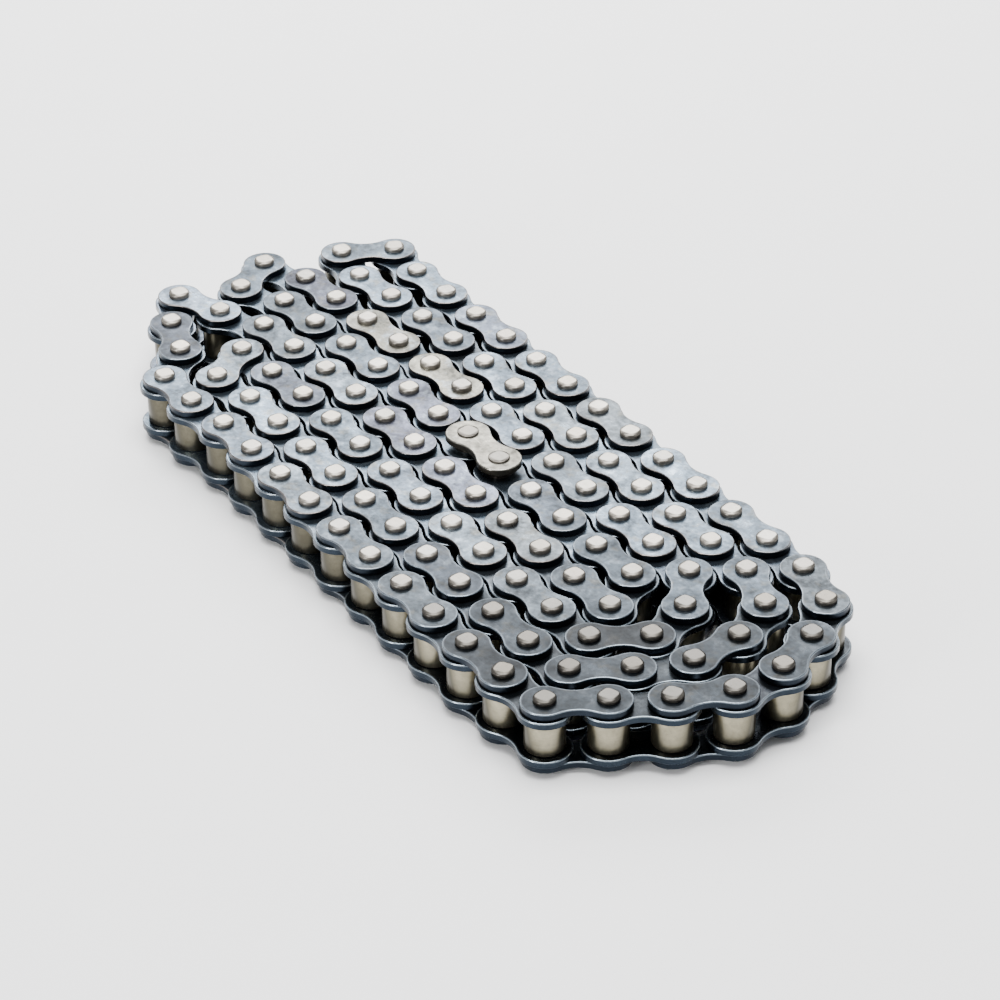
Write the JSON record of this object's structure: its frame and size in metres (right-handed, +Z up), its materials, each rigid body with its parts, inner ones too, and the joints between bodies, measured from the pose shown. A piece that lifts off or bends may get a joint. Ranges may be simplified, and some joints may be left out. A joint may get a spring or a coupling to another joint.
{
  "type": "motorcycle drive chain",
  "caption": "Endless roller drive chain lying folded in nested rows, with a spring-clip connecting link and a loose outer strand that swings out link by link.",
  "frame": {"origin": "centre of the folded chain's footprint, at the lower pin ends it lies on", "axes": "+X along the folded rows, +Y towards the loose outer strand, +Z up along the pins"},
  "size_m": [0.215, 0.0863, 0.0179],
  "materials": {
    "outer_plate": "blued satin steel with bright punched edges",
    "inner_plate": "darker blued satin steel",
    "pin": "bright steel with peened ends",
    "bush": "ground steel, greased",
    "roller": "satin straw-coloured steel",
    "connecting_plate": "nickel-plated satin steel",
    "spring_clip": "polished spring steel",
    "links": "blued satin steel"
  },
  "bodies": {
    "folded_chain": {"inner_turn_links": "links", "middle_turn_links": "links", "right_turn_links": "links", "row_1_front_links": "links", "row_2_links": "links", "row_3_links": "links", "row_4_links": "links", "row_5_left_links": "links", "row_5_right_links": "links", "row_6_links": "links", "row_7_links": "links", "row_8_right_links": "links", "connecting_link_clip_plate": "connecting_plate", "connecting_link_pin_a": "pin", "connecting_link_pin_b": "pin", "connecting_link_plate": "connecting_plate", "connecting_link_spring_clip": "spring_clip"},
    "outer_link_1": {"outer_link_1_lower_plate": "outer_plate", "outer_link_1_pin_a": "pin", "outer_link_1_pin_b": "pin", "outer_link_1_upper_plate": "outer_plate"},
    "inner_link_1": {"inner_link_1_bush_a": "bush", "inner_link_1_bush_b": "bush", "inner_link_1_lower_plate": "inner_plate", "inner_link_1_upper_plate": "inner_plate"},
    "inner_link_1_roller_a": {"inner_link_1_roller_a": "roller"},
    "inner_link_1_roller_b": {"inner_link_1_roller_b": "roller"},
    "outer_link_2": {"outer_link_2_lower_plate": "outer_plate", "outer_link_2_pin_a": "pin", "outer_link_2_pin_b": "pin", "outer_link_2_upper_plate": "outer_plate"},
    "inner_link_2": {"inner_link_2_bush_a": "bush", "inner_link_2_bush_b": "bush", "inner_link_2_lower_plate": "inner_plate", "inner_link_2_upper_plate": "inner_plate"},
    "inner_link_2_roller_a": {"inner_link_2_roller_a": "roller"},
    "inner_link_2_roller_b": {"inner_link_2_roller_b": "roller"},
    "outer_link_3": {"outer_link_3_lower_plate": "outer_plate", "outer_link_3_pin_a": "pin", "outer_link_3_pin_b": "pin", "outer_link_3_upper_plate": "outer_plate"},
    "inner_link_3": {"inner_link_3_bush_a": "bush", "inner_link_3_bush_b": "bush", "inner_link_3_lower_plate": "inner_plate", "inner_link_3_upper_plate": "inner_plate"},
    "inner_link_3_roller_a": {"inner_link_3_roller_a": "roller"},
    "inner_link_3_roller_b": {"inner_link_3_roller_b": "roller"},
    "outer_link_4": {"outer_link_4_lower_plate": "outer_plate", "outer_link_4_pin_a": "pin", "outer_link_4_pin_b": "pin", "outer_link_4_upper_plate": "outer_plate"},
    "inner_link_4": {"inner_link_4_bush_a": "bush", "inner_link_4_bush_b": "bush", "inner_link_4_lower_plate": "inner_plate", "inner_link_4_upper_plate": "inner_plate"},
    "inner_link_4_roller_a": {"inner_link_4_roller_a": "roller"},
    "inner_link_4_roller_b": {"inner_link_4_roller_b": "roller"},
    "corner_link": {"corner_link_lower_plate": "outer_plate", "corner_link_pin": "pin", "corner_link_upper_plate": "outer_plate"}
  },
  "joints": [
    {"name": "hinge_1_outer_link_1", "type": "hinge", "parent": "folded_chain", "child": "outer_link_1", "pos_m": [0.01102, 0.03692, 0.00835], "axis": [0, 0, 1], "range_deg": [-27.7, 0]},
    {"name": "hinge_2_inner_link_1", "type": "hinge", "parent": "outer_link_1", "child": "inner_link_1", "pos_m": [-0.00168, 0.03694, 0.00835], "axis": [0, 0, 1], "range_deg": [-27.7, 0]},
    {"name": "roller_1a_spin", "type": "hinge", "parent": "inner_link_1", "child": "inner_link_1_roller_a", "pos_m": [-0.00168, 0.03694, 0.00835], "axis": [0, 0, 1], "continuous": true},
    {"name": "roller_1b_spin", "type": "hinge", "parent": "inner_link_1", "child": "inner_link_1_roller_b", "pos_m": [-0.01438, 0.03703, 0.00835], "axis": [0, 0, 1], "continuous": true},
    {"name": "hinge_3_outer_link_2", "type": "hinge", "parent": "inner_link_1", "child": "outer_link_2", "pos_m": [-0.01438, 0.03703, 0.00835], "axis": [0, 0, 1], "range_deg": [-27.7, 0]},
    {"name": "hinge_4_inner_link_2", "type": "hinge", "parent": "outer_link_2", "child": "inner_link_2", "pos_m": [-0.02708, 0.03694, 0.00835], "axis": [0, 0, 1], "range_deg": [-27.7, 0]},
    {"name": "roller_2a_spin", "type": "hinge", "parent": "inner_link_2", "child": "inner_link_2_roller_a", "pos_m": [-0.02708, 0.03694, 0.00835], "axis": [0, 0, 1], "continuous": true},
    {"name": "roller_2b_spin", "type": "hinge", "parent": "inner_link_2", "child": "inner_link_2_roller_b", "pos_m": [-0.03978, 0.03683, 0.00835], "axis": [0, 0, 1], "continuous": true},
    {"name": "hinge_5_outer_link_3", "type": "hinge", "parent": "inner_link_2", "child": "outer_link_3", "pos_m": [-0.03978, 0.03683, 0.00835], "axis": [0, 0, 1], "range_deg": [-27.7, 0]},
    {"name": "hinge_6_inner_link_3", "type": "hinge", "parent": "outer_link_3", "child": "inner_link_3", "pos_m": [-0.05248, 0.03665, 0.00835], "axis": [0, 0, 1], "range_deg": [-27.7, 0]},
    {"name": "roller_3a_spin", "type": "hinge", "parent": "inner_link_3", "child": "inner_link_3_roller_a", "pos_m": [-0.05248, 0.03665, 0.00835], "axis": [0, 0, 1], "continuous": true},
    {"name": "roller_3b_spin", "type": "hinge", "parent": "inner_link_3", "child": "inner_link_3_roller_b", "pos_m": [-0.06518, 0.03636, 0.00835], "axis": [0, 0, 1], "continuous": true},
    {"name": "hinge_7_outer_link_4", "type": "hinge", "parent": "inner_link_3", "child": "outer_link_4", "pos_m": [-0.06518, 0.03636, 0.00835], "axis": [0, 0, 1], "range_deg": [-27.7, 0]},
    {"name": "hinge_8_inner_link_4", "type": "hinge", "parent": "outer_link_4", "child": "inner_link_4", "pos_m": [-0.07787, 0.03604, 0.00835], "axis": [0, 0, 1], "range_deg": [-27.7, 0]},
    {"name": "roller_4a_spin", "type": "hinge", "parent": "inner_link_4", "child": "inner_link_4_roller_a", "pos_m": [-0.07787, 0.03604, 0.00835], "axis": [0, 0, 1], "continuous": true},
    {"name": "roller_4b_spin", "type": "hinge", "parent": "inner_link_4", "child": "inner_link_4_roller_b", "pos_m": [-0.09051, 0.03732, 0.00835], "axis": [0, 0, 1], "continuous": true},
    {"name": "corner_link_hinge", "type": "hinge", "parent": "folded_chain", "child": "corner_link", "pos_m": [-0.0961, 0.02592, 0.00835], "axis": [0, 0, 1], "range_deg": [0, 90]}
  ]
}
